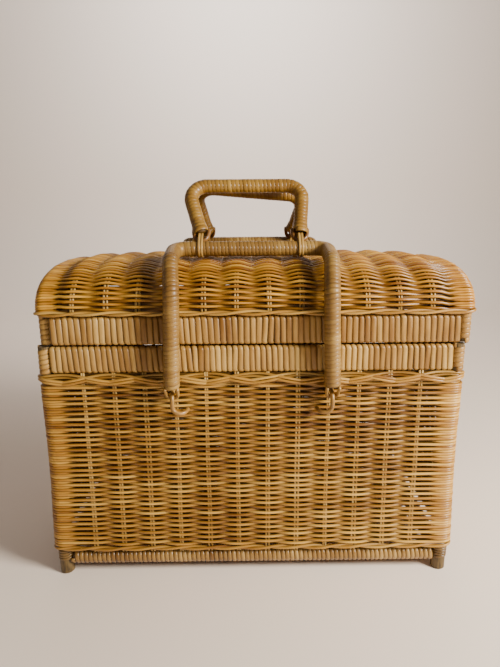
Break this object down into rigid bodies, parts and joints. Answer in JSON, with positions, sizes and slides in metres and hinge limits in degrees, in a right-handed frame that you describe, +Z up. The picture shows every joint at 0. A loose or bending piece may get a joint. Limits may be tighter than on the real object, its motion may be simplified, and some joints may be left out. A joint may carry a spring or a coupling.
{
  "type": "lidded wicker hamper",
  "caption": "Rectangular woven hamper on post feet, with a hinged domed lid, swinging bails and carrying grips that meet over the lid.",
  "frame": {"origin": "on the floor under the middle of the hamper", "axes": "+Z up, -Y towards the front, +X to the right seen from the front"},
  "size_m": [0.4408, 0.264, 0.4232],
  "materials": {
    "weave": "lacquered cane",
    "braid": "lacquered cane",
    "wrap": "glossy flat cane",
    "post": "worn pole",
    "ring": "glossy cane"
  },
  "bodies": {
    "basket": {"corner_post_front_left": "post", "corner_post_front_right": "post", "corner_post_rear_left": "post", "corner_post_rear_right": "post", "bottom_rail_front": "wrap", "bottom_rail_rear": "wrap", "bottom_rail_left": "wrap", "bottom_rail_right": "wrap", "base_weave": "weave", "base_slat_left": "post", "base_slat_right": "post", "wall_weave_front": "weave", "wall_weave_right": "weave", "wall_weave_rear": "weave", "wall_weave_left": "weave", "lower_twining": "braid", "border_braid": "braid", "rim_band_front": "wrap", "rim_band_rear": "wrap", "rim_band_left": "wrap", "rim_band_right": "wrap", "hinge_rod_left": "ring", "hinge_rod_right": "ring", "hinge_loop_basket_left": "ring", "hinge_loop_basket_right": "ring", "front_bail_ring_left": "ring", "front_bail_ring_right": "ring", "rear_bail_ring_left": "ring", "rear_bail_ring_right": "ring"},
    "lid": {"lid_band_front": "wrap", "lid_band_rear": "wrap", "lid_band_left": "wrap", "lid_band_right": "wrap", "lid_arch_left": "post", "lid_arch_right": "post", "lid_twining": "braid", "dome_weave": "weave", "lid_end_weave_left": "weave", "lid_end_weave_right": "weave", "hinge_loop_lid_left": "ring", "hinge_loop_lid_right": "ring"},
    "front_bail_body": {"front_bail": "wrap", "front_bail_eye_left": "ring", "front_bail_eye_right": "ring"},
    "rear_bail_body": {"rear_bail": "wrap", "rear_bail_eye_left": "ring", "rear_bail_eye_right": "ring"},
    "front_grip_body": {"front_grip": "wrap", "front_grip_eye_left": "ring", "front_grip_eye_right": "ring", "front_grip_link_left": "wrap", "front_grip_link_right": "wrap"},
    "rear_grip_body": {"rear_grip": "wrap", "rear_grip_eye_left": "ring", "rear_grip_eye_right": "ring", "rear_grip_link_left": "wrap", "rear_grip_link_right": "wrap"}
  },
  "joints": [
    {"name": "lid_hinge", "type": "hinge", "parent": "basket", "child": "lid", "pos_m": [0, 0.118, 0.25875], "axis": [-1, 0, 0], "range_deg": [0, 65]},
    {"name": "front_bail_swing", "type": "hinge", "parent": "basket", "child": "front_bail_body", "pos_m": [0, -0.1154, 0.203], "axis": [1, 0, 0], "range_deg": [0, 130]},
    {"name": "rear_bail_swing", "type": "hinge", "parent": "basket", "child": "rear_bail_body", "pos_m": [0, 0.1154, 0.203], "axis": [-1, 0, 0], "range_deg": [0, 130]},
    {"name": "front_grip_swing", "type": "hinge", "parent": "front_bail_body", "child": "front_grip_body", "pos_m": [0, -0.058, 0.3495], "axis": [1, 0, 0], "range_deg": [0, 135]},
    {"name": "rear_grip_swing", "type": "hinge", "parent": "rear_bail_body", "child": "rear_grip_body", "pos_m": [0, 0.058, 0.3495], "axis": [-1, 0, 0], "range_deg": [0, 135]}
  ],
  "couplings": [
    {"joint": "front_bail_swing", "follows": "lid_hinge", "ratio": 2},
    {"joint": "rear_bail_swing", "follows": "lid_hinge", "ratio": 2}
  ]
}
